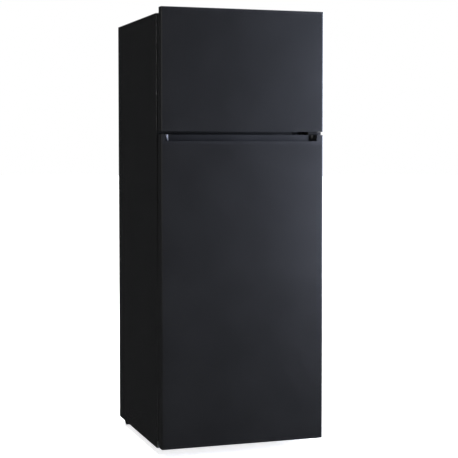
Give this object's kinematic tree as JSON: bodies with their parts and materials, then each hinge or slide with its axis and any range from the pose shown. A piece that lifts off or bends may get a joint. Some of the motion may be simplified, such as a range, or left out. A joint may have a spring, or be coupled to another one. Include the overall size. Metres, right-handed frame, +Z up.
{
  "type": "top freezer refrigerator",
  "caption": "Upright household refrigerator with a small freezer door above a tall fridge door, a recessed full-width hand grip between them and hinges on the right.",
  "frame": {"origin": "middle of the footprint, on the floor", "axes": "+Z up; the doors face -Y and are hinged on the +X side"},
  "size_m": [0.55, 0.57, 1.43],
  "materials": {
    "aluminium": "satin",
    "bare_steel": "satin",
    "black_plastic": "satin",
    "black_steel": "satin",
    "clear_plastic": "gloss",
    "copper": "satin",
    "dark_rubber": "matte",
    "foam": "matte",
    "shelf_glass": "gloss",
    "white_plastic": "satin"
  },
  "bodies": {
    "cabinet": {"left_side_panel": "black_steel", "right_side_panel": "black_steel", "top_panel": "black_steel", "back_panel": "bare_steel", "base_plate": "bare_steel", "insulation_foam": "foam", "freezer_liner": "white_plastic", "fridge_liner": "white_plastic", "crossbeam": "black_steel", "top_hinge": "bare_steel", "hinge_cover": "black_plastic", "middle_hinge": "bare_steel", "bottom_hinge": "bare_steel", "lower_shelf": "shelf_glass", "upper_shelf": "shelf_glass", "lower_shelf_trim": "white_plastic", "upper_shelf_trim": "white_plastic", "crisper_cover": "shelf_glass", "freezer_shelf": "shelf_glass", "evaporator_plate": "aluminium", "control_housing": "white_plastic", "lamp_lens": "clear_plastic", "compressor_tray": "bare_steel", "compressor": "black_steel", "compressor_grommet_1": "dark_rubber", "compressor_grommet_2": "dark_rubber", "compressor_grommet_3": "dark_rubber", "compressor_grommet_4": "dark_rubber", "relay_box": "black_plastic", "drain_pan": "black_plastic", "drain_hose": "white_plastic", "condenser_coil": "copper", "filter_drier": "copper", "discharge_tube": "copper", "suction_tube": "copper", "left_roller_axle": "bare_steel", "right_roller_axle": "bare_steel"},
    "freezer_door": {"freezer_door_skin": "black_steel", "freezer_door_top_cap": "black_plastic", "freezer_door_bottom_cap": "black_plastic", "freezer_door_foam": "foam", "freezer_door_liner": "white_plastic", "freezer_door_gasket": "dark_rubber", "freezer_door_bin": "clear_plastic"},
    "fridge_door": {"fridge_door_skin": "black_steel", "fridge_door_top_cap": "black_plastic", "fridge_door_bottom_cap": "black_plastic", "fridge_door_foam": "foam", "fridge_door_liner": "white_plastic", "fridge_door_gasket": "dark_rubber", "bottle_bin": "clear_plastic", "middle_door_bin": "clear_plastic", "upper_door_bin": "clear_plastic"},
    "crisper": {"crisper_drawer": "clear_plastic"},
    "door_switch": {"door_switch_plunger": "white_plastic"},
    "thermostat": {"thermostat_knob": "white_plastic"},
    "left_foot": {"left_front_foot": "black_plastic"},
    "right_foot": {"right_front_foot": "black_plastic"},
    "left_roller": {"left_rear_roller": "black_plastic"},
    "right_roller": {"right_rear_roller": "black_plastic"}
  },
  "joints": [
    {"name": "freezer_door_hinge", "type": "hinge", "parent": "cabinet", "child": "freezer_door", "pos_m": [0.261, -0.251, 1.04], "axis": [0, 0, 1], "range_deg": [0, 115]},
    {"name": "fridge_door_hinge", "type": "hinge", "parent": "cabinet", "child": "fridge_door", "pos_m": [0.261, -0.251, 0.03], "axis": [0, 0, 1], "range_deg": [0, 115]},
    {"name": "crisper_slide", "type": "slide", "parent": "cabinet", "child": "crisper", "axis": [0, -1, 0], "range_m": [0, 0.151]},
    {"name": "door_switch_slide", "type": "slide", "parent": "cabinet", "child": "door_switch", "axis": [0, -1, 0], "range_m": [0, 0.0051]},
    {"name": "thermostat_turn", "type": "hinge", "parent": "cabinet", "child": "thermostat", "pos_m": [-0.035, -0.192, 0.983], "axis": [0, -1, 0], "range_deg": [-140, 140]},
    {"name": "left_foot_screw", "type": "hinge", "parent": "cabinet", "child": "left_foot", "pos_m": [-0.225, -0.135, 0.01], "axis": [0, 0, 1], "continuous": true},
    {"name": "right_foot_screw", "type": "hinge", "parent": "cabinet", "child": "right_foot", "pos_m": [0.225, -0.135, 0.01], "axis": [0, 0, 1], "continuous": true},
    {"name": "left_roller_axle_turn", "type": "hinge", "parent": "cabinet", "child": "left_roller", "pos_m": [-0.252, 0.245, 0.025], "axis": [1, 0, 0], "continuous": true},
    {"name": "right_roller_axle_turn", "type": "hinge", "parent": "cabinet", "child": "right_roller", "pos_m": [0.252, 0.245, 0.025], "axis": [1, 0, 0], "continuous": true}
  ],
  "couplings": [
    {"joint": "crisper_slide", "follows": "fridge_door_hinge", "m_per_rad": 0.074734},
    {"joint": "door_switch_slide", "follows": "fridge_door_hinge", "m_per_rad": 0.002491}
  ]
}
